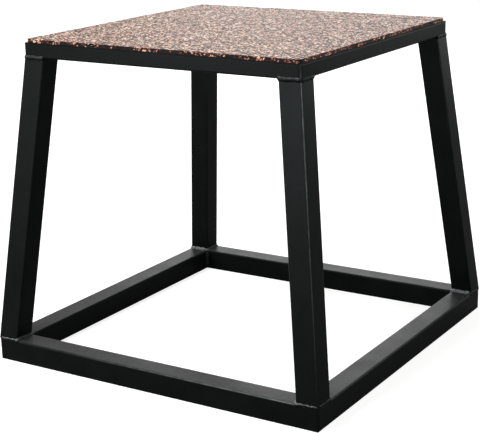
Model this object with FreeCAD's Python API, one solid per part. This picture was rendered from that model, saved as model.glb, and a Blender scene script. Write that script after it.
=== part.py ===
import FreeCAD, Part
import math
import os

from FreeCAD import Placement, Rotation, Vector

# Steel plyometric jump box: a welded tube frame with splayed legs and a rubber-topped deck.
# Millimetres, +Z up. The origin is on the floor under the middle of the box.
# +X runs along the front of the box and -Y points out of its front.

# Outer size of the frame
base_width = 640.0
base_depth = 640.0
top_width = 530.0
top_depth = 530.0
frame_height = 555.0

# Square tube of the floor ring and the legs
square_tube = 40.0
square_wall = 2.0

# Flat tube of the upper ring
flat_tube_width = 40.0
flat_tube_height = 25.0
flat_wall = 2.0

# Corners: the tubes' own rounding, and the ring corners that are ground round after welding
tube_corner = 3.0
ground_corner = 5.0

# Steel deck plate, let in flush between the upper rails
deck_thickness = 4.0

# Rubber tile, glued on the upper rails and the deck plate
rubber_thickness = 6.0
rubber_inset = 2.5
rubber_corner = 8.0
rubber_edge = 1.0

# Weld beads round the leg ends, and how far they stand proud of the flush outer faces
bead_radius = 5.0
bead_rise = 1.5
bead_facets = 12

# Fillet welds in the rings' inside corners, and in short runs under the deck plate
corner_fillet = 4.0
stitch_fillet = 4.0
stitch_length = 40.0
stitches_per_side = 3

# Levels that the sizes above set
base_top = square_tube
rail_underside = frame_height - flat_tube_height
deck_underside = frame_height - deck_thickness

# Room that a cutting shape leaves past the piece it cuts
spare = square_tube

UP = Vector(0, 0, 1)
ORIGIN = Vector(0, 0, 0)

# A side is built as the front one, then turned about Z by this angle.
SIDES = {"front": 0, "right": 90, "back": 180, "left": 270}

# Each corner's sign along X and along Y
CORNERS = {
    "front_left": (-1, -1),
    "front_right": (1, -1),
    "back_right": (1, 1),
    "back_left": (-1, 1),
}


def save(shape, node):
    shape.exportStep("parts/" + node + ".step")


def rounded_bar(width, depth, length, radius):
    """A bar that stands on the XY plane, centred on Z, with its four long edges rounded."""
    bar = Part.makeBox(width, depth, length, Vector(-width / 2, -depth / 2, 0))
    if radius <= 0:
        return bar
    upright = [edge for edge in bar.Edges if abs(edge.tangentAt(edge.FirstParameter).z) > 0.5]
    return bar.makeFillet(radius, upright)


def tube(width, depth, length, wall):
    """A standing tube. A wall of None leaves it solid, as the room that the tube takes up."""
    outside = rounded_bar(width, depth, length, tube_corner)
    if wall is None:
        return outside
    bore = rounded_bar(width - 2 * wall, depth - 2 * wall, length, tube_corner - wall)
    return outside.cut(bore)


def span(side, ring_width, ring_depth):
    """A ring side's length, and its outer face's distance from the middle."""
    if SIDES[side] in (0, 180):
        return ring_width, ring_depth / 2
    return ring_depth, ring_width / 2


def ring_rail(side, ring_width, ring_depth, tube_width, tube_height, wall, underside):
    """One side of a mitred ring: a lying tube with 45 degree ends and rounded ring corners."""
    run, reach = span(side, ring_width, ring_depth)
    rail = tube(tube_width, tube_height, run, wall)
    lay_along_x = Rotation(Vector(1, 1, 1), 120)
    middle = Vector(-run / 2, tube_width / 2 - reach, underside + tube_height / 2)
    rail.Placement = Placement(middle, lay_along_x)

    low = underside - spare
    long_end = run / 2 + spare
    short_end = run / 2 - tube_width - spare
    corners = [
        Vector(-long_end, -reach - spare, low),
        Vector(long_end, -reach - spare, low),
        Vector(short_end, -reach + tube_width + spare, low),
        Vector(-short_end, -reach + tube_width + spare, low),
    ]
    height = UP * (tube_height + 2 * spare)
    mitre = Part.Face(Part.makePolygon(corners + corners[:1])).extrude(height)

    plan = rounded_bar(run, 2 * reach, height.z, ground_corner)
    plan.translate(UP * low)
    rail = rail.common(mitre).common(plan)
    rail.rotate(ORIGIN, UP, SIDES[side])
    return rail


def base_rail(side, wall):
    return ring_rail(side, base_width, base_depth, square_tube, square_tube, wall, 0.0)


def top_rail(side, wall):
    return ring_rail(
        side, top_width, top_depth, flat_tube_width, flat_tube_height, wall, rail_underside)


def leg_foot(corner):
    """The middle of a leg's foot, with the leg's outer faces flush with the floor ring."""
    sign_x, sign_y = CORNERS[corner]
    return Vector(
        sign_x * (base_width - square_tube) / 2, sign_y * (base_depth - square_tube) / 2, base_top)


def leg_head(corner):
    """The middle of a leg's head, with the leg's outer faces flush with the upper ring."""
    sign_x, sign_y = CORNERS[corner]
    return Vector(
        sign_x * (top_width - square_tube) / 2, sign_y * (top_depth - square_tube) / 2,
        rail_underside)


def leg(corner, wall):
    """A splayed leg: a straight square tube, cut level at its foot and head."""
    foot = leg_foot(corner)
    axis = leg_head(corner) - foot
    post = tube(square_tube, square_tube, axis.Length + 2 * spare, wall)
    post.translate(UP * -spare)
    post.Placement = Placement(foot, Rotation(UP, axis)).multiply(post.Placement)
    widest = max(base_width, top_width) + 2 * spare
    deepest = max(base_depth, top_depth) + 2 * spare
    between_rings = Part.makeBox(
        widest, deepest, rail_underside - base_top, Vector(-widest / 2, -deepest / 2, base_top))
    return post.common(between_rings)


def leg_end_weld(corner, centre, neighbours):
    """A bead round one end of a leg, with a faceted section. Its path is sunk behind the two
    flush outer faces, so that it only caps them, and follows the edges of the two inner faces."""
    sign_x, sign_y = CORNERS[corner]
    inner = square_tube / 2
    outer = inner - bead_radius + bead_rise
    near_x = centre.x - sign_x * inner
    near_y = centre.y - sign_y * inner
    far_x = centre.x + sign_x * outer
    far_y = centre.y + sign_y * outer
    start = Vector(centre.x, near_y, centre.z)
    path = Part.makePolygon([
        start,
        Vector(far_x, near_y, centre.z),
        Vector(far_x, far_y, centre.z),
        Vector(near_x, far_y, centre.z),
        Vector(near_x, near_y, centre.z),
        start,
    ])
    section_points = []
    for index in range(bead_facets):
        angle = 2 * math.pi * (index + 0.5) / bead_facets
        section_points.append(start + Vector(0, math.cos(angle), math.sin(angle)) * bead_radius)
    section = Part.makePolygon(section_points + section_points[:1])
    mitred_corners = 1
    bead = path.makePipeShell([section], True, False, mitred_corners)
    return bead.cut(neighbours)


def inside_corner_weld(corner, ring_width, ring_depth, tube_width, low, high):
    """An upright fillet weld where two rails meet inside a ring."""
    sign_x, sign_y = CORNERS[corner]
    root = Vector(
        sign_x * (ring_width / 2 - tube_width), sign_y * (ring_depth / 2 - tube_width), low)
    along_x = root - Vector(sign_x * corner_fillet, 0, 0)
    along_y = root - Vector(0, sign_y * corner_fillet, 0)
    section = Part.Face(Part.makePolygon([root, along_x, along_y, root]))
    return section.extrude(UP * (high - low))


def deck_stitches(side):
    """Short fillet welds under the deck plate, spaced evenly along one upper rail."""
    run, reach = span(side, top_width, top_depth)
    rail_face = flat_tube_width - reach
    pitch = (run - 2 * flat_tube_width) / stitches_per_side
    stitches = []
    for index in range(stitches_per_side):
        start = (index + 0.5 - stitches_per_side / 2) * pitch - stitch_length / 2
        root = Vector(start, rail_face, deck_underside)
        on_plate = root + Vector(0, stitch_fillet, 0)
        on_rail = root - UP * stitch_fillet
        section = Part.Face(Part.makePolygon([root, on_plate, on_rail, root]))
        stitch = section.extrude(Vector(stitch_length, 0, 0))
        stitch.rotate(ORIGIN, UP, SIDES[side])
        stitches.append(stitch)
    return stitches


def deck_plate():
    """The steel plate that carries a landing, fitted between the upper rails."""
    width = top_width - 2 * flat_tube_width
    depth = top_depth - 2 * flat_tube_width
    return Part.makeBox(width, depth, deck_thickness, Vector(-width / 2, -depth / 2, deck_underside))


def rubber_tile():
    """The rubber top, set in a little from the frame's outer faces, with its top edge eased."""
    tile = rounded_bar(
        top_width - 2 * rubber_inset, top_depth - 2 * rubber_inset, rubber_thickness, rubber_corner)
    tile.translate(UP * frame_height)
    upper_face = max(tile.Faces, key=lambda face: face.CenterOfMass.z)
    return tile.makeFillet(rubber_edge, upper_face.Edges)


os.makedirs("parts", exist_ok=True)

for side in SIDES:
    save(base_rail(side, square_wall), "base_rail_" + side)
    save(top_rail(side, flat_wall), "top_rail_" + side)

base_room = [base_rail(side, None) for side in SIDES]
top_room = [top_rail(side, None) for side in SIDES]

# The upright welds stop short of the beads round the leg ends.
base_weld_low = tube_corner
base_weld_high = base_top - bead_radius - tube_corner
top_weld_low = rail_underside + bead_radius + tube_corner

for corner in CORNERS:
    save(leg(corner, square_wall), "leg_" + corner)
    leg_room = [leg(corner, None)]
    save(leg_end_weld(corner, leg_foot(corner), leg_room + base_room), "leg_foot_weld_" + corner)
    save(leg_end_weld(corner, leg_head(corner), leg_room + top_room), "leg_head_weld_" + corner)
    base_weld = inside_corner_weld(
        corner, base_width, base_depth, square_tube, base_weld_low, base_weld_high)
    save(base_weld, "base_corner_weld_" + corner)
    top_weld = inside_corner_weld(
        corner, top_width, top_depth, flat_tube_width, top_weld_low, deck_underside)
    save(top_weld, "top_corner_weld_" + corner)

save(deck_plate(), "deck_plate")
all_stitches = [stitch for side in SIDES for stitch in deck_stitches(side)]
save(Part.makeCompound(all_stitches), "deck_stitch_welds")
save(rubber_tile(), "rubber_tile")
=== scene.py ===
import math

import bmesh
import bpy
from mathutils import Matrix, Vector


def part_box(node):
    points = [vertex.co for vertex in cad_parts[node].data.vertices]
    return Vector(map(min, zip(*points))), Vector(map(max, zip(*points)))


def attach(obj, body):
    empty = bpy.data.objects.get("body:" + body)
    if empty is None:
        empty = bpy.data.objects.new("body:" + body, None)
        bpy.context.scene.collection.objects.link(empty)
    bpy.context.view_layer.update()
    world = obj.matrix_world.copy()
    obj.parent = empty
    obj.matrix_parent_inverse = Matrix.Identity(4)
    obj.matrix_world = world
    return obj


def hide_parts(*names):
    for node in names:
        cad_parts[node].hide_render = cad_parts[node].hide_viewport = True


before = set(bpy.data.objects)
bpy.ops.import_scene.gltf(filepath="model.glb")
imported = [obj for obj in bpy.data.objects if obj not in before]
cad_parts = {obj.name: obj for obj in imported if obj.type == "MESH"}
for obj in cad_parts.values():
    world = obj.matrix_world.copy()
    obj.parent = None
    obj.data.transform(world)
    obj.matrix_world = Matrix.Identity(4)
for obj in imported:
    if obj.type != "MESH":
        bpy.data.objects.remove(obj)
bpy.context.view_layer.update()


# Floor ring: four lengths of 40 mm square steel tube, mitred, welded into a ring and ground flush
# outside. The frame is powder coated after welding, so one black coat runs over every seam.
SIDES = ("front", "right", "back", "left")


def linear(hex_colour):
    """An sRGB hex colour as linear RGBA."""
    rgba = []
    for start in (1, 3, 5):
        channel = int(hex_colour[start:start + 2], 16) / 255
        rgba.append(channel / 12.92 if channel <= 0.04045 else ((channel + 0.055) / 1.055) ** 2.4)
    return rgba + [1.0]


def add_node(owner, kind, inputs=None, **settings):
    """Adds a shader node with its settings, sets or links its inputs, and returns it."""
    tree = owner.node_tree
    node = tree.nodes.new("ShaderNode" + kind)
    for name, value in settings.items():
        setattr(node, name, value)
    for name, value in (inputs or {}).items():
        if isinstance(value, bpy.types.NodeSocket):
            tree.links.new(value, node.inputs[name])
        else:
            node.inputs[name].default_value = value
    return node


# Satin black polyester powder coat, sprayed dry and baked on steel. It is an even, slightly cool black
# with a fine orange peel, so it blurs what it mirrors and turns grey at a low angle of view. The orange
# peel is drawn coarser than it is, to show.
coat_dark = "#030404"
coat_light = "#090a0a"
coat_shine = "#f3ffff"
coat_ior = 1.092
coat_patch = 0.05
coat_least_rough = 0.36
coat_most_rough = 0.44
orange_peel = 0.004
orange_peel_height = 0.0004
orange_peel_strength = 0.35

# The range that a noise pattern's values run through, from none to all of a patch. The specks' range is
# narrower, which makes their edges harder.
patch_low = 0.3
patch_high = 0.7
speck_low = 0.35
speck_high = 0.65

# Painted sheen: the floor ring's level faces are painted lighter, in specks of more and less, for the
# light from above that they catch. How level a face is goes by its normal's share along Z.
coat_painted_sheen = "#353635"
floor_ring_below = 0.2
sheen_from_level = 0.8
sheen_full_level = 0.98
sheen_speck = 0.007
least_painted_sheen = 0.62
most_painted_sheen = 0.9

# Paler edges, partly wear and partly painted highlight. Shoes rub the floor ring's upper edges, and
# hands and knees the upright edges, more so higher up the legs and only a little on the upper ring.
# Edges that face the front and lie near its right corner are palest, a painted highlight where light
# catches them.
# Wear and highlight are given as a share of the full amount, and heights are in metres.
coat_worn_highlight = "#585c5c"
highlight_wear_patch = 0.012
least_highlight_wear = 0.5
leg_highlight_wear = 0.5
leg_highlight_wear_from = 0.02
leg_highlight_wear_to = 0.5
upper_ring_from = 0.53
upper_ring_highlight_wear = 0.15
far_highlight_wear = 0.08
side_highlight_wear = 0.3

# An edge is found by its normal, whose largest share along an axis is about 1 on a flat face and less
# on an edge. Which way it faces goes by the normal's shares along Z and Y, and how near it is to the
# front right corner by its X less its Y, in metres.
flat_share = 0.99
edge_share = 0.82
facing_down = -0.3
upper_edge_from = 0.2
upper_edge_full = 0.5
to_front_right = (1.0, -1.0, 0.0)
near_from = 0.15
near_full = 0.6
facing_front = -0.5

powder_coat = bpy.data.materials.new("satin_black_powder_coat")
powder_coat.use_nodes = True
powder_coat.node_tree.nodes.clear()
coat_place = add_node(powder_coat, "TexCoord")
coat_patches = add_node(powder_coat, "TexNoise", {
    "Vector": coat_place.outputs["Object"], "Scale": 1 / coat_patch, "Detail": 3.0})
coat_colour = add_node(powder_coat, "Mix", {
    "Factor": coat_patches.outputs["Fac"], "A": linear(coat_dark), "B": linear(coat_light)},
    data_type="RGBA")

# Painted sheen on what faces up, near the floor
coat_surface = add_node(powder_coat, "NewGeometry")
coat_facing = add_node(powder_coat, "SeparateXYZ", {"Vector": coat_surface.outputs["Normal"]})
coat_level = add_node(powder_coat, "MapRange", {
    "Value": coat_facing.outputs["Z"], "From Min": sheen_from_level, "From Max": sheen_full_level},
    interpolation_type="SMOOTHSTEP")
coat_position = add_node(powder_coat, "SeparateXYZ", {"Vector": coat_place.outputs["Object"]})
coat_low = add_node(powder_coat, "Math", {
    0: coat_position.outputs["Z"], 1: floor_ring_below}, operation="LESS_THAN")
coat_low_level = add_node(powder_coat, "Math", {
    0: coat_level.outputs["Result"], 1: coat_low.outputs["Value"]}, operation="MULTIPLY")
coat_sheen_noise = add_node(powder_coat, "TexNoise", {
    "Vector": coat_place.outputs["Object"], "Scale": 1 / sheen_speck, "Detail": 4.0})
coat_sheen_specks = add_node(powder_coat, "MapRange", {
    "Value": coat_sheen_noise.outputs["Fac"], "From Min": speck_low, "From Max": speck_high,
    "To Min": least_painted_sheen, "To Max": most_painted_sheen})
coat_painted_sheen_mask = add_node(powder_coat, "Math", {
    0: coat_low_level.outputs["Value"], 1: coat_sheen_specks.outputs["Result"]}, operation="MULTIPLY")
coat_with_painted_sheen = add_node(powder_coat, "Mix", {
    "Factor": coat_painted_sheen_mask.outputs["Value"], "A": coat_colour.outputs["Result"], "B": linear(coat_painted_sheen)},
    data_type="RGBA")

# Edges: where the surface is turned away from all three axes and does not face down
coat_turned = add_node(powder_coat, "VectorMath", {
    0: coat_surface.outputs["Normal"]}, operation="ABSOLUTE")
coat_axes = add_node(powder_coat, "SeparateXYZ", {"Vector": coat_turned.outputs["Vector"]})
coat_sides = add_node(powder_coat, "Math", {
    0: coat_axes.outputs["X"], 1: coat_axes.outputs["Y"]}, operation="MAXIMUM")
coat_flat = add_node(powder_coat, "Math", {
    0: coat_sides.outputs["Value"], 1: coat_axes.outputs["Z"]}, operation="MAXIMUM")
coat_edges = add_node(powder_coat, "MapRange", {
    "Value": coat_flat.outputs["Value"], "From Min": flat_share, "From Max": edge_share},
    interpolation_type="SMOOTHSTEP")
coat_above = add_node(powder_coat, "MapRange", {
    "Value": coat_facing.outputs["Z"], "From Min": facing_down, "From Max": 0.0})
coat_open_edges = add_node(powder_coat, "Math", {
    0: coat_edges.outputs["Result"], 1: coat_above.outputs["Result"]}, operation="MULTIPLY")

# Wear and painted highlight on those edges, by their height, their place and the way they face
coat_upper_edge = add_node(powder_coat, "MapRange", {
    "Value": coat_facing.outputs["Z"], "From Min": upper_edge_from, "From Max": upper_edge_full})
coat_up_leg = add_node(powder_coat, "MapRange", {
    "Value": coat_position.outputs["Z"], "From Min": leg_highlight_wear_from, "From Max": leg_highlight_wear_to,
    "To Max": leg_highlight_wear})
coat_on_ring = add_node(powder_coat, "Math", {
    0: coat_position.outputs["Z"], 1: upper_ring_from}, operation="GREATER_THAN")
coat_upright_edge = add_node(powder_coat, "Mix", {
    "Factor": coat_on_ring.outputs["Value"], "A": coat_up_leg.outputs["Result"],
    "B": upper_ring_highlight_wear}, data_type="FLOAT")
coat_highlight_wear_by_height = add_node(powder_coat, "Mix", {
    "Factor": coat_upper_edge.outputs["Result"], "A": coat_upright_edge.outputs["Result"],
    "B": coat_low.outputs["Value"]}, data_type="FLOAT")
coat_to_front_right = add_node(powder_coat, "VectorMath", {
    0: coat_place.outputs["Object"], 1: to_front_right}, operation="DOT_PRODUCT")
coat_near = add_node(powder_coat, "MapRange", {
    "Value": coat_to_front_right.outputs["Value"], "From Min": near_from, "From Max": near_full,
    "To Min": far_highlight_wear, "To Max": 1.0})
coat_to_front = add_node(powder_coat, "MapRange", {
    "Value": coat_facing.outputs["Y"], "From Min": 0.0, "From Max": facing_front,
    "To Min": side_highlight_wear, "To Max": 1.0})
coat_stepped = add_node(powder_coat, "Math", {
    0: coat_near.outputs["Result"], 1: coat_to_front.outputs["Result"]}, operation="MULTIPLY")
coat_highlight_wear_by_place = add_node(powder_coat, "Math", {
    0: coat_highlight_wear_by_height.outputs["Result"], 1: coat_stepped.outputs["Value"]}, operation="MULTIPLY")
coat_highlight_wear_noise = add_node(powder_coat, "TexNoise", {
    "Vector": coat_place.outputs["Object"], "Scale": 1 / highlight_wear_patch, "Detail": 3.0})
coat_highlight_wear_patches = add_node(powder_coat, "MapRange", {
    "Value": coat_highlight_wear_noise.outputs["Fac"], "From Min": speck_low, "From Max": speck_high,
    "To Min": least_highlight_wear, "To Max": 1.0})
coat_highlight_wear_amount = add_node(powder_coat, "Math", {
    0: coat_highlight_wear_patches.outputs["Result"], 1: coat_highlight_wear_by_place.outputs["Value"]}, operation="MULTIPLY")
coat_highlight_wear_mask = add_node(powder_coat, "Math", {
    0: coat_open_edges.outputs["Value"], 1: coat_highlight_wear_amount.outputs["Value"]}, operation="MULTIPLY")
coat_shown = add_node(powder_coat, "Mix", {
    "Factor": coat_highlight_wear_mask.outputs["Value"], "A": coat_with_painted_sheen.outputs["Result"], "B": linear(coat_worn_highlight)},
    data_type="RGBA")

# Finish
coat_roughness = add_node(powder_coat, "MapRange", {
    "Value": coat_patches.outputs["Fac"], "From Min": patch_low, "From Max": patch_high,
    "To Min": coat_least_rough, "To Max": coat_most_rough})
coat_peel = add_node(powder_coat, "TexNoise", {
    "Vector": coat_place.outputs["Object"], "Scale": 1 / orange_peel, "Detail": 2.0})
coat_bump = add_node(powder_coat, "Bump", {
    "Height": coat_peel.outputs["Fac"], "Strength": orange_peel_strength,
    "Distance": orange_peel_height})
coat_shader = add_node(powder_coat, "BsdfPrincipled", {
    "Base Color": coat_shown.outputs["Result"], "Roughness": coat_roughness.outputs["Result"],
    "IOR": coat_ior, "Specular Tint": linear(coat_shine),
    "Normal": coat_bump.outputs["Normal"]})
add_node(powder_coat, "OutputMaterial", {"Surface": coat_shader.outputs["BSDF"]})

for side in SIDES:
    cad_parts["base_rail_" + side].material_slots[0].material = powder_coat


# Inside corner welds of the floor ring: one upright bead in each corner, left as it was laid.
# The torch leaves a ripple every few millimetres, and the coat softens the ripples into lumps.
CORNERS = ("front_right", "back_right", "back_left", "front_left")
bead_facets = 14
ripple_pitch = 0.0036
ripple_depth = 0.05
steps_per_ripple = 5

# A bead's rounded ends: their length in bead radii, and how much of the section is gone at the tip
bead_end_length = 0.6
bead_end_loss = 0.85

lump_size = 0.006
lump_height = 0.0016
weld_lumps = bpy.data.textures.new("weld_lumps", type="CLOUDS")
weld_lumps.noise_scale = lump_size


# The same powder coat over weld metal. The upper side of a bead is painted grey, a painted highlight
# of the light from above, and its underside black, painted shade. Less of the painted highlight lies
# high up and on beads that face right. The lumps catch the light.
weld_painted_shade = "#030404"
weld_painted_highlight = "#76797a"
weld_coat_ior = 1.1
weld_least_rough = 0.28
weld_most_rough = 0.4
weld_grain_height = 0.0006
weld_grain_strength = 0.4

# The painted highlight is a share of the full grey. It lies in specks, thins out from one height to the
# other, in metres, and goes by a bead's normal: its share along Z for the upper side and along X for
# the right.
painted_light_full_up = 0.95
painted_light_speck_low = 0.4
painted_light_speck_high = 0.6
least_painted_light = 0.4
painted_light_thins_from = 0.1
painted_light_thins_to = 0.5
high_painted_light = 0.35
faces_right_from = 0.1
faces_right_full = 0.6
right_painted_light = 0.25

weld_coat = bpy.data.materials.new("satin_black_powder_coat_on_weld")
weld_coat.use_nodes = True
weld_coat.node_tree.nodes.clear()
weld_place = add_node(weld_coat, "TexCoord")
weld_patches = add_node(weld_coat, "TexNoise", {
    "Vector": weld_place.outputs["Object"], "Scale": 1 / ripple_pitch, "Detail": 3.0})
weld_surface = add_node(weld_coat, "NewGeometry")
weld_axes = add_node(weld_coat, "SeparateXYZ", {"Vector": weld_surface.outputs["Normal"]})
weld_upper = add_node(weld_coat, "MapRange", {
    "Value": weld_axes.outputs["Z"], "From Min": 0.0, "From Max": painted_light_full_up},
    interpolation_type="SMOOTHSTEP")
weld_painted_light_specks = add_node(weld_coat, "MapRange", {
    "Value": weld_patches.outputs["Fac"], "From Min": painted_light_speck_low,
    "From Max": painted_light_speck_high, "To Min": least_painted_light, "To Max": 1.0})
weld_position = add_node(weld_coat, "SeparateXYZ", {"Vector": weld_place.outputs["Object"]})
weld_low_down = add_node(weld_coat, "MapRange", {
    "Value": weld_position.outputs["Z"], "From Min": painted_light_thins_from,
    "From Max": painted_light_thins_to, "To Min": 1.0, "To Max": high_painted_light})
weld_to_right = add_node(weld_coat, "MapRange", {
    "Value": weld_axes.outputs["X"], "From Min": faces_right_from, "From Max": faces_right_full,
    "To Min": 1.0, "To Max": right_painted_light})
weld_painted_light_right = add_node(weld_coat, "Math", {
    0: weld_painted_light_specks.outputs["Result"], 1: weld_to_right.outputs["Result"]}, operation="MULTIPLY")
weld_painted_light_low = add_node(weld_coat, "Math", {
    0: weld_painted_light_right.outputs["Value"], 1: weld_low_down.outputs["Result"]}, operation="MULTIPLY")
weld_painted_light = add_node(weld_coat, "Math", {
    0: weld_upper.outputs["Result"], 1: weld_painted_light_low.outputs["Value"]}, operation="MULTIPLY")
# Painted light and shade: grey on the upper side, black beneath.
weld_colour = add_node(weld_coat, "Mix", {
    "Factor": weld_painted_light.outputs["Value"], "A": linear(weld_painted_shade), "B": linear(weld_painted_highlight)},
    data_type="RGBA")
weld_roughness = add_node(weld_coat, "MapRange", {
    "Value": weld_patches.outputs["Fac"], "From Min": patch_low, "From Max": patch_high,
    "To Min": weld_least_rough, "To Max": weld_most_rough})
weld_bump = add_node(weld_coat, "Bump", {
    "Height": weld_patches.outputs["Fac"], "Strength": weld_grain_strength,
    "Distance": weld_grain_height})
weld_shader = add_node(weld_coat, "BsdfPrincipled", {
    "Base Color": weld_colour.outputs["Result"], "Roughness": weld_roughness.outputs["Result"],
    "IOR": weld_coat_ior, "Normal": weld_bump.outputs["Normal"]})
add_node(weld_coat, "OutputMaterial", {"Surface": weld_shader.outputs["BSDF"]})


def straight_bead(length, radius):
    """A run of weld along Z from the origin: a disc extruded upwards in short steps, swelling at
    each ripple, with both ends rounded."""
    bpy.ops.object.select_all(action="DESELECT")
    bpy.ops.mesh.primitive_circle_add(vertices=bead_facets, radius=radius, fill_type="NGON")
    bead = bpy.context.object
    bpy.ops.object.mode_set(mode="EDIT")
    bpy.ops.mesh.select_all(action="SELECT")
    steps = math.ceil(length / ripple_pitch) * steps_per_ripple
    end_length = bead_end_length * radius
    size = 1.0
    for step in range(steps + 1):
        height = length * step / steps
        to_end = min(height, length - height)
        tuck = max(0.0, 1 - to_end / end_length)
        wanted = math.sqrt(1 - bead_end_loss * tuck * tuck)
        wanted *= 1 + ripple_depth * math.cos(2 * math.pi * height / ripple_pitch)
        if step:
            bpy.ops.mesh.extrude_region_move(
                TRANSFORM_OT_translate={"value": (0, 0, length / steps)})
        bpy.ops.transform.resize(
            value=(wanted / size, wanted / size, 1), center_override=(0, 0, height))
        size = wanted
    bpy.ops.mesh.select_all(action="SELECT")
    bpy.ops.mesh.normals_make_consistent(inside=False)
    bpy.ops.object.mode_set(mode="OBJECT")
    return bead


def copy_to(source, name, placement):
    """A copy of a finished shape with its own mesh, which holds the copy's place."""
    bpy.ops.object.select_all(action="DESELECT")
    source.select_set(True)
    bpy.context.view_layer.objects.active = source
    bpy.ops.object.duplicate()
    piece = bpy.context.object
    piece.name = name
    piece.data.name = name
    piece.matrix_world = placement
    bpy.ops.object.transform_apply(location=True, rotation=True, scale=True)
    return piece


def shape_by(piece, texture, height, direction):
    """Pushes a piece's surface in and out by a texture, where the piece lies."""
    bpy.ops.object.select_all(action="DESELECT")
    piece.select_set(True)
    bpy.context.view_layer.objects.active = piece
    uneven = piece.modifiers.new("uneven", "DISPLACE")
    uneven.texture = texture
    uneven.strength = height
    uneven.direction = direction
    bpy.ops.object.modifier_apply(modifier=uneven.name)


def finish_weld(bead, node):
    """Makes a bead lumpy, each one in its own way, coats it, and puts it in a node's place."""
    shape_by(bead, weld_lumps, lump_height, "NORMAL")
    bpy.ops.object.shade_smooth()
    bead.data.materials.append(weld_coat)
    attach(bead, "root")
    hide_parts(node)


def delete_pattern(pattern):
    """Removes a shape that was only there to be copied."""
    bpy.ops.object.select_all(action="DESELECT")
    pattern.select_set(True)
    bpy.ops.object.delete()


corner_bead_radius = 0.0066
corner_bead_sink = 0.0012


def corner_beads(ring, weld_box, run_on):
    """An upright bead in each inside corner of a ring, sunk a little into the rails. The box is that
    of the ring's front right weld, and the bead may run on past its upper end."""
    low, high = weld_box
    pattern = straight_bead(high.z - low.z + run_on, corner_bead_radius)
    foot = Vector((high.x + corner_bead_sink, low.y - corner_bead_sink, low.z))
    for index, corner in enumerate(CORNERS):
        turn = Matrix.Rotation(index * math.pi / 2, 4, "Z")
        bead = copy_to(pattern, ring + "_corner_bead_" + corner, turn @ Matrix.Translation(foot))
        finish_weld(bead, ring + "_corner_weld_" + corner)
    delete_pattern(pattern)


into_foot_bead = 0.005
corner_beads("base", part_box("base_corner_weld_front_right"), run_on=into_foot_bead)


# Legs: four lengths of the same square tube, cut at an angle so that they lean in to the smaller
# upper ring. Each end is welded all round, to the floor ring below and to the upper ring above.
for corner in CORNERS:
    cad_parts["leg_" + corner].material_slots[0].material = powder_coat

# The bead round a leg end. On the two flush outer faces it only stands a little proud. On the two
# inner faces it is a fillet, whose middle lies inside both tubes. Its back is pressed flat, to a share
# of the radius. It is modelled for the front right foot.
outer_bead_radius = 0.005
foot_bead_sink = 0.0043
foot_fillet_radius = 0.0095
foot_fillet_sink = 0.0038
head_bead_sink = 0.0034
head_fillet_radius = 0.0065
head_fillet_sink = 0.0024
bead_bend = 0.0016
bead_step = 0.0009
bend_steps = 6
bead_back = 0.3
hair_breadth = 0.0001
merge_distance = 0.00002

wander_size = 0.016
wander_height = 0.0026
weld_wander = bpy.data.textures.new("weld_wander", type="CLOUDS")
weld_wander.noise_scale = wander_size

# A leaning leg's level end is a little wider than its 40 mm tube.
leg_width = 0.0405
leg_low, leg_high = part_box("leg_front_right")
foot_centre = Vector((leg_high.x - leg_width / 2, leg_low.y + leg_width / 2, leg_low.z))
head_centre = Vector((leg_low.x + leg_width / 2, leg_high.y - leg_width / 2, leg_high.z))


def leg_end_bead(outer_bead_sink, fillet_radius, fillet_sink):
    """A closed bead: a ring of edges, extruded along one side after another and turned at each
    corner, until it meets its start. Its back is flat and stays inside the tubes."""
    side_length = leg_width - outer_bead_sink - fillet_sink - 2 * bead_bend
    ripples = round(4 * (side_length + bead_bend * math.pi / 2) / ripple_pitch)
    pitch = 4 * (side_length + bead_bend * math.pi / 2) / ripples
    start = foot_centre + Vector((
        fillet_sink + bead_bend - leg_width / 2, outer_bead_sink - leg_width / 2, 0))

    bpy.ops.object.select_all(action="DESELECT")
    bpy.ops.mesh.primitive_circle_add(
        vertices=bead_facets, radius=outer_bead_radius, location=start, rotation=(0, math.pi / 2, 0))
    bead = bpy.context.object
    bpy.ops.object.transform_apply(location=True, rotation=True, scale=True)
    bpy.ops.object.mode_set(mode="EDIT")
    shape = bmesh.from_edit_mesh(bead.data)
    for vertex in shape.verts:
        vertex.select_set(vertex.co.y > start.y + hair_breadth)
    shape.select_flush_mode()
    bpy.ops.transform.resize(value=(1, bead_back, 1), center_override=start)
    bpy.ops.mesh.select_all(action="SELECT")

    centre = start.copy()
    heading = Vector((1, 0, 0))
    travelled = 0.0
    size = outer_bead_radius
    side_steps = round(side_length / bead_step)
    side_radius = (outer_bead_radius, outer_bead_radius, fillet_radius, fillet_radius)
    side_level = (0.0, 0.0, -fillet_sink, -fillet_sink)
    for side in range(4):
        next_radius = side_radius[(side + 1) % 4]
        for step in range(side_steps + bend_steps):
            if step < side_steps:
                move = heading * (side_length / side_steps)
                bpy.ops.mesh.extrude_region_move(TRANSFORM_OT_translate={"value": move})
                centre += move
                travelled += move.length
                wanted = side_radius[side]
            else:
                turned = (step - side_steps + 1) / bend_steps
                angle = math.pi / 2 / bend_steps
                climb = Vector((0, 0, (side_level[(side + 1) % 4] - side_level[side]) / bend_steps))
                bpy.ops.mesh.extrude_region_move(TRANSFORM_OT_translate={"value": climb})
                centre += climb
                pivot = centre + Vector((-heading.y, heading.x, 0)) * bead_bend
                bpy.ops.transform.rotate(value=-angle, orient_axis="Z", center_override=pivot)
                swing = Matrix.Rotation(angle, 3, "Z")
                centre = pivot + swing @ (centre - pivot)
                heading = swing @ heading
                travelled += bead_bend * angle
                wanted = side_radius[side] + (next_radius - side_radius[side]) * turned
            wanted *= 1 + ripple_depth * math.sin(2 * math.pi * travelled / pitch)
            growth = wanted / size
            bpy.ops.transform.resize(value=(growth, growth, growth), center_override=centre)
            size = wanted
    bpy.ops.mesh.select_all(action="SELECT")
    bpy.ops.mesh.remove_doubles(threshold=merge_distance)
    bpy.ops.mesh.normals_make_consistent(inside=False)
    bpy.ops.object.mode_set(mode="OBJECT")
    return bead


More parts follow.
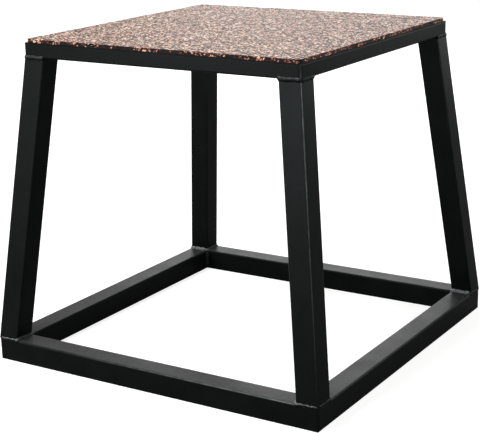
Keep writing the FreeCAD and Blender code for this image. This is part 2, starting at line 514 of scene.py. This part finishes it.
foot_bead = leg_end_bead(foot_bead_sink, foot_fillet_radius, foot_fillet_sink)
head_bead = leg_end_bead(head_bead_sink, head_fillet_radius, head_fillet_sink)
upside_down = Matrix.Rotation(math.pi, 4, Vector((1, -1, 0)))
to_head = Matrix.Translation(head_centre) @ upside_down @ Matrix.Translation(-foot_centre)
for index, corner in enumerate(CORNERS):
    turn = Matrix.Rotation(index * math.pi / 2, 4, "Z")
    piece = copy_to(foot_bead, "leg_foot_bead_" + corner, turn)
    shape_by(piece, weld_wander, wander_height, "Z")
    finish_weld(piece, "leg_foot_weld_" + corner)
    piece = copy_to(head_bead, "leg_head_bead_" + corner, turn @ to_head)
    shape_by(piece, weld_wander, wander_height, "Z")
    finish_weld(piece, "leg_head_weld_" + corner)
delete_pattern(foot_bead)
delete_pattern(head_bead)


# Upper ring: four lengths of 40 by 25 mm flat tube laid on their wide side, mitred and welded on
# the heads of the legs. It has short upright beads in its inside corners, under the deck.
for side in SIDES:
    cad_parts["top_rail_" + side].material_slots[0].material = powder_coat

corner_beads("top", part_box("top_corner_weld_front_right"), run_on=0)


# Deck: a 4 mm steel plate let in between the upper rails, flush with their tops, and held from
# below by short stitch welds. It carries the landing, and the rubber hides it from above.
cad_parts["deck_plate"].material_slots[0].material = powder_coat

stitch_radius = 0.0052
stitch_sink = 0.001
stitch_length = 0.040
stitch_spacing = 0.150
stitches_per_side = 3

deck_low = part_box("deck_plate")[0]
stitch = straight_bead(stitch_length, stitch_radius)
lay_along_x = Matrix.Rotation(math.pi / 2, 4, "Y")
stitches = []
for side in range(4):
    turn = Matrix.Rotation(side * math.pi / 2, 4, "Z")
    for index in range(stitches_per_side):
        along = (index - (stitches_per_side - 1) / 2) * stitch_spacing - stitch_length / 2
        root = Vector((along, deck_low.y - stitch_sink, deck_low.z + stitch_sink))
        stitches.append(copy_to(stitch, "stitch_bead", turn @ Matrix.Translation(root) @ lay_along_x))
delete_pattern(stitch)
bpy.ops.object.select_all(action="DESELECT")
for bead in stitches:
    bead.select_set(True)
bpy.context.view_layer.objects.active = stitches[0]
bpy.ops.object.join()
deck_beads = bpy.context.object
deck_beads.name = "deck_stitch_beads"
deck_beads.data.name = "deck_stitch_beads"
finish_weld(deck_beads, "deck_stitch_welds")


# Rubber tile: 6 mm of crumb rubber bound with resin, pressed in a block and sliced, then cut to
# size and glued on. The slicing leaves its top grainy and its cut edges a little ragged.
tile_cells = 290
tile_corner = 0.008
corner_cut_angles = (15, 45, 75)
edge_ease = 0.0008
edge_rows = 4

tile_low, tile_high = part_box("rubber_tile")
tile_width = tile_high.x - tile_low.x

bpy.ops.object.select_all(action="DESELECT")
bpy.ops.mesh.primitive_grid_add(
    x_subdivisions=tile_cells, y_subdivisions=tile_cells, size=tile_width, location=(0, 0, tile_high.z))
tile = bpy.context.object
tile.name = "rubber_tile_flecked"
tile.data.name = "rubber_tile_flecked"
bpy.ops.object.transform_apply(location=True, rotation=True, scale=True)
bpy.ops.object.mode_set(mode="EDIT")
for sign_x, sign_y in ((1, -1), (1, 1), (-1, 1), (-1, -1)):
    arc_middle = Vector((sign_x, sign_y, 0)) * (tile_width / 2 - tile_corner)
    for angle in corner_cut_angles:
        outward = Vector((
            sign_x * math.cos(math.radians(angle)), sign_y * math.sin(math.radians(angle)), 0))
        bpy.ops.mesh.select_all(action="SELECT")
        bpy.ops.mesh.bisect(
            plane_co=arc_middle + outward * tile_corner, plane_no=outward, clear_outer=True)
bpy.ops.mesh.select_all(action="SELECT")
bpy.ops.mesh.region_to_loop()
ease_scale = 1 - 2 * edge_ease / tile_width
bpy.ops.transform.resize(value=(ease_scale, ease_scale, 1), center_override=(0, 0, tile_high.z))
bpy.ops.mesh.extrude_region_move(TRANSFORM_OT_translate={"value": (0, 0, -edge_ease)})
bpy.ops.transform.resize(
    value=(1 / ease_scale, 1 / ease_scale, 1), center_override=(0, 0, tile_high.z))
row_height = (tile_high.z - tile_low.z - edge_ease) / edge_rows
for row in range(edge_rows):
    bpy.ops.mesh.extrude_region_move(TRANSFORM_OT_translate={"value": (0, 0, -row_height)})
bpy.ops.mesh.edge_face_add()
bpy.ops.mesh.select_all(action="SELECT")
bpy.ops.mesh.normals_make_consistent(inside=False)

# The top shows the sliced rubber, and all the rest the cut rubber.
sliced_index = 0
cut_index = 1
faces_up = 0.9
shape = bmesh.from_edit_mesh(tile.data)
for face in shape.faces:
    face.material_index = sliced_index if face.normal.z > faces_up else cut_index

# All but the underside is left rough by the blade, and the cut edges more so than the top. A middle
# level is the part of the pattern that stays where it was.
crumb_relief_size = 0.004
crumb_relief_depth = 0.0012
crumb_relief_middle = 0.3
edge_relief_size = 0.005
edge_relief_depth = 0.0022
edge_relief_middle = 0.6

for vertex in shape.verts:
    vertex.select_set(vertex.co.z > tile_low.z + row_height / 2)
shape.select_flush_mode()
bpy.ops.object.vertex_group_add()
rough_group = tile.vertex_groups[-1]
rough_group.name = "sliced"
bpy.ops.object.vertex_group_assign()
for vertex in shape.verts:
    at_rim = vertex.co.z < tile_high.z - edge_ease / 2
    vertex.select_set(at_rim and vertex.co.z > tile_low.z + row_height / 2)
shape.select_flush_mode()
bpy.ops.object.vertex_group_add()
rim_group = tile.vertex_groups[-1]
rim_group.name = "cut_edge"
bpy.ops.object.vertex_group_assign()
bpy.ops.object.mode_set(mode="OBJECT")

crumb_relief = bpy.data.textures.new("crumb_relief", type="VORONOI")
crumb_relief.noise_scale = crumb_relief_size
edge_relief = bpy.data.textures.new("edge_relief", type="CLOUDS")
edge_relief.noise_scale = edge_relief_size
sliced = tile.modifiers.new("sliced", "DISPLACE")
sliced.texture = crumb_relief
sliced.vertex_group = rough_group.name
sliced.strength = -crumb_relief_depth
sliced.mid_level = crumb_relief_middle
bpy.ops.object.modifier_apply(modifier=sliced.name)
torn = tile.modifiers.new("torn", "DISPLACE")
torn.texture = edge_relief
torn.vertex_group = rim_group.name
torn.strength = edge_relief_depth
torn.mid_level = edge_relief_middle
bpy.ops.object.modifier_apply(modifier=torn.name)
tile.vertex_groups.clear()


# A crumb's outline: its bends per crumb size, and in crumb sizes their reach and the gap's width. Then
# its ranges of shade and of roughness, its height in metres, and how strongly that height shows.
bends_per_crumb = 0.7
bend_reach = 1.2
gap_width = 0.12
darkest_crumb = 0.65
lightest_crumb = 1.35
least_rough_crumb = 0.5
most_rough_crumb = 0.75
crumb_height = 0.0006
crumb_height_strength = 0.5


def crumb_rubber(name, crumb_size, crumbs, cluster_size, cluster_share, gap_shade, ior):
    """Bound crumb rubber: each crumb has one colour of the list, by the share that is given there,
    is a little lighter or darker than its neighbours, and is parted from them by a gap darkened with
    painted shade. Badly stirred, the colours of one end of the list lie in clusters."""
    rubber = bpy.data.materials.new(name)
    rubber.use_nodes = True
    rubber.node_tree.nodes.clear()
    place = add_node(rubber, "TexCoord")
    warp = add_node(rubber, "TexNoise", {
        "Vector": place.outputs["Object"], "Scale": bends_per_crumb / crumb_size, "Detail": 1.0})
    nudge = add_node(rubber, "VectorMath", {
        0: warp.outputs["Color"], 1: (crumb_size * bend_reach,) * 3}, operation="MULTIPLY")
    warped = add_node(rubber, "VectorMath", {
        0: place.outputs["Object"], 1: nudge.outputs["Vector"]}, operation="ADD")
    cells = add_node(rubber, "TexVoronoi", {
        "Vector": warped.outputs["Vector"], "Scale": 1 / crumb_size})
    gaps = add_node(rubber, "TexVoronoi", {
        "Vector": warped.outputs["Vector"], "Scale": 1 / crumb_size}, feature="DISTANCE_TO_EDGE")
    chance = add_node(rubber, "SeparateColor", {"Color": cells.outputs["Color"]})
    clusters = add_node(rubber, "TexNoise", {
        "Vector": place.outputs["Object"], "Scale": 1 / cluster_size, "Detail": 2.0})
    cluster_shift = add_node(rubber, "MapRange", {
        "Value": clusters.outputs["Fac"], "From Min": patch_low, "From Max": patch_high,
        "To Min": -cluster_share, "To Max": cluster_share})
    picked = add_node(rubber, "Math", {
        0: chance.outputs["Red"], 1: cluster_shift.outputs["Result"]}, operation="ADD")
    colours = add_node(rubber, "ValToRGB", {"Fac": picked.outputs["Value"]})
    ramp = colours.color_ramp
    ramp.interpolation = "CONSTANT"
    total = sum(share for share, colour in crumbs)
    start = 0.0
    for index, (share, colour) in enumerate(crumbs):
        if index > 1:
            ramp.elements.new(start)
        ramp.elements[index].position = start
        ramp.elements[index].color = linear(colour)
        start += share / total
    shade = add_node(rubber, "MapRange", {
        "Value": chance.outputs["Green"], "To Min": darkest_crumb, "To Max": lightest_crumb})
    # Painted shade: the colour darkens in the gaps between crumbs.
    gap = add_node(rubber, "MapRange", {
        "Value": gaps.outputs["Distance"], "From Max": gap_width,
        "To Min": gap_shade, "To Max": 1.0})
    level = add_node(rubber, "Math", {
        0: shade.outputs["Result"], 1: gap.outputs["Result"]}, operation="MULTIPLY")
    colour = add_node(rubber, "VectorMath", {
        0: colours.outputs["Color"], "Scale": level.outputs["Value"]}, operation="SCALE")
    roughness = add_node(rubber, "MapRange", {
        "Value": chance.outputs["Blue"], "To Min": least_rough_crumb, "To Max": most_rough_crumb})
    relief = add_node(rubber, "Bump", {
        "Height": cells.outputs["Distance"], "Strength": crumb_height_strength,
        "Distance": crumb_height}, invert=True)
    shader = add_node(rubber, "BsdfPrincipled", {
        "Base Color": colour.outputs["Vector"], "Roughness": roughness.outputs["Result"],
        "IOR": ior, "Normal": relief.outputs["Normal"]})
    add_node(rubber, "OutputMaterial", {"Surface": shader.outputs["BSDF"]})
    return rubber


# Black tyre crumbs with red, orange and cream flecks. The sliced top has a dull shine that turns it pale
# at a low angle of view, and its colours are painted paler than the cut edge's as well, a painted sheen.
# The torn cut edge is nearly matt.
crumb_size = 0.003
cluster_size = 0.018
crumb_colours_with_painted_sheen = (
    (0.30, "#423029"),
    (0.12, "#3b3c33"),
    (0.16, "#6c4b40"),
    (0.12, "#bb8876"),
    (0.10, "#d2a998"),
    (0.20, "#e8d1be"))
cut_crumb_size = 0.0019
cut_colours = (
    (0.73, "#080706"),
    (0.12, "#32130d"),
    (0.045, "#6b3123"),
    (0.035, "#a95f3e"),
    (0.03, "#83746a"),
    (0.04, "#b88b72"))
sliced_rubber = crumb_rubber(
    "crumb_rubber_sliced", crumb_size, crumb_colours_with_painted_sheen, cluster_size,
    cluster_share=0.1, gap_shade=0.5, ior=1.22)
cut_rubber = crumb_rubber(
    "crumb_rubber_cut_edge", cut_crumb_size, cut_colours, cluster_size,
    cluster_share=0.3, gap_shade=0.4, ior=1.15)
tile.data.materials.append(sliced_rubber)
tile.data.materials.append(cut_rubber)
smooth_under = math.radians(40)
bpy.ops.object.shade_smooth_by_angle(angle=smooth_under)
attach(tile, "root")
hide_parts("rubber_tile")


# Studio: a plain pale floor that goes on far past the view, in white surroundings, under six soft
# lamps. It is no part of the object.
floor_width = 40.0
bpy.ops.object.select_all(action="DESELECT")
bpy.ops.mesh.primitive_plane_add(size=floor_width)
floor = bpy.context.object
floor.name = "floor"

# Matt white studio floor. For rays that are seen it glows, so that it reads as white and only the
# shadow shows on it, while the light it throws on the part is its diffuse light alone. It glows more
# away from the lamps. Where it is seen in the coat it glows less, so that the coat stays black.
floor_colour = "#bcbcba"
floor_glow_near = 0.76
floor_glow_far = 1.0
glow_from = 0.9
glow_to = 2.2
floor_glow_mirrored = 0.05

pale_floor = bpy.data.materials.new("matt_white_studio_floor")
pale_floor.use_nodes = True
pale_floor.node_tree.nodes.clear()
floor_place = add_node(pale_floor, "TexCoord")
floor_distance = add_node(pale_floor, "VectorMath", {
    0: floor_place.outputs["Object"]}, operation="LENGTH")
floor_glow = add_node(pale_floor, "MapRange", {
    "Value": floor_distance.outputs["Value"], "From Min": glow_from, "From Max": glow_to,
    "To Min": floor_glow_near, "To Max": floor_glow_far})
floor_rays = add_node(pale_floor, "LightPath")
floor_seen = add_node(pale_floor, "Math", {
    0: floor_rays.outputs["Is Camera Ray"], 1: floor_rays.outputs["Is Transmission Ray"]},
    operation="MAXIMUM")
floor_shown = add_node(pale_floor, "Math", {
    0: floor_seen.outputs["Value"], 1: floor_glow.outputs["Result"]}, operation="MULTIPLY")
floor_strength = add_node(pale_floor, "Math", {
    0: floor_rays.outputs["Is Glossy Ray"], 1: floor_glow_mirrored, 2: floor_shown.outputs["Value"]},
    operation="MULTIPLY_ADD")
floor_diffuse = add_node(pale_floor, "BsdfDiffuse", {"Color": linear(floor_colour)})
floor_emission = add_node(pale_floor, "Emission", {
    "Color": linear("#ffffff"), "Strength": floor_strength.outputs["Value"]})
floor_sum = add_node(pale_floor, "AddShader", {
    0: floor_diffuse.outputs["BSDF"], 1: floor_emission.outputs["Emission"]})
add_node(pale_floor, "OutputMaterial", {"Surface": floor_sum.outputs["Shader"]})
floor.data.materials.append(pale_floor)

# White surroundings. They are at full strength where they are seen or mirrored, and weaker as light.
fill_light = 0.3
world = bpy.data.worlds.new("studio")
bpy.context.scene.world = world
world.use_nodes = True
world.node_tree.nodes.clear()
world_rays = add_node(world, "LightPath")
world_seen = add_node(world, "Math", {
    0: world_rays.outputs["Is Camera Ray"], 1: world_rays.outputs["Is Glossy Ray"]},
    operation="MAXIMUM")
world_shown = add_node(world, "Math", {
    0: world_seen.outputs["Value"], 1: world_rays.outputs["Is Transmission Ray"]},
    operation="MAXIMUM")
world_strength = add_node(world, "MapRange", {
    "Value": world_shown.outputs["Value"], "To Min": fill_light, "To Max": 1.0})
world_light = add_node(world, "Background", {
    "Color": linear("#ffffff"), "Strength": world_strength.outputs["Result"]})
add_node(world, "OutputWorld", {"Surface": world_light.outputs["Background"]})


def soft_lamp(name, place, aim, size, power, spread=180):
    """A square softbox at a place, turned to a point. A grid narrows its spread, in degrees."""
    bpy.ops.object.light_add(type="AREA", location=place)
    lamp = bpy.context.object
    lamp.name = name
    lamp.data.shape = "SQUARE"
    lamp.data.size = size
    lamp.data.energy = power
    lamp.data.spread = math.radians(spread)
    lamp.rotation_euler = (Vector(aim) - Vector(place)).to_track_quat("-Z", "Y").to_euler()
    lamp.visible_camera = False


soft_lamp("lamp_above", (-0.7, -0.4, 1.85), aim=(0, 0, 0.5), size=0.5, power=15.0)
soft_lamp("lamp_back_left", (-1.35, 2.7, 1.45), aim=(0, 0, 0.3), size=1.6, power=43.0)
soft_lamp("lamp_front_left", (-0.95, -2.05, 0.72), aim=(0, 0, 0.4), size=0.8, power=74.0)
soft_lamp("lamp_front_right", (1.95, -1.3, 0.6), aim=(0, 0, 0.4), size=0.4, power=23.0)
soft_lamp("lamp_back_right", (1.25, 1.95, 0.77), aim=(0, 0, 0.45), size=0.8, power=13.0)

# The gridded lamp brings out the flecks in the tile's right cut edge and hardly reaches the floor ring.
soft_lamp(
    "lamp_right_gridded", (2.2, -0.9, 0.64), aim=(0.26, -0.03, 0.557), size=0.3, power=1.2, spread=22)

# Camera: where the photo was taken from, worked out from the frame's edges in its 480 by 433 pixels.
photo_width = 480
photo_height = 433
camera_place = Vector((1.2056, -1.9148, 0.8637))
camera_yaw = 0.5421
camera_pitch = -0.2866
camera_roll = -0.0179
focal_pixels = 1306.0
centre_x = 272.7
centre_y = 229.2
bpy.ops.object.camera_add()
camera = bpy.context.object
camera.matrix_world = (
    Matrix.Translation(camera_place) @ Matrix.Rotation(camera_yaw, 4, "Z")
    @ Matrix.Rotation(math.pi / 2 + camera_pitch, 4, "X") @ Matrix.Rotation(camera_roll, 4, "Z"))
camera.data.sensor_width = 36.0
camera.data.lens = focal_pixels * camera.data.sensor_width / photo_width
camera.data.shift_x = (photo_width / 2 - centre_x) / photo_width
camera.data.shift_y = (centre_y - photo_height / 2) / photo_width
bpy.context.scene.camera = camera
bpy.context.scene.view_settings.view_transform = "Standard"
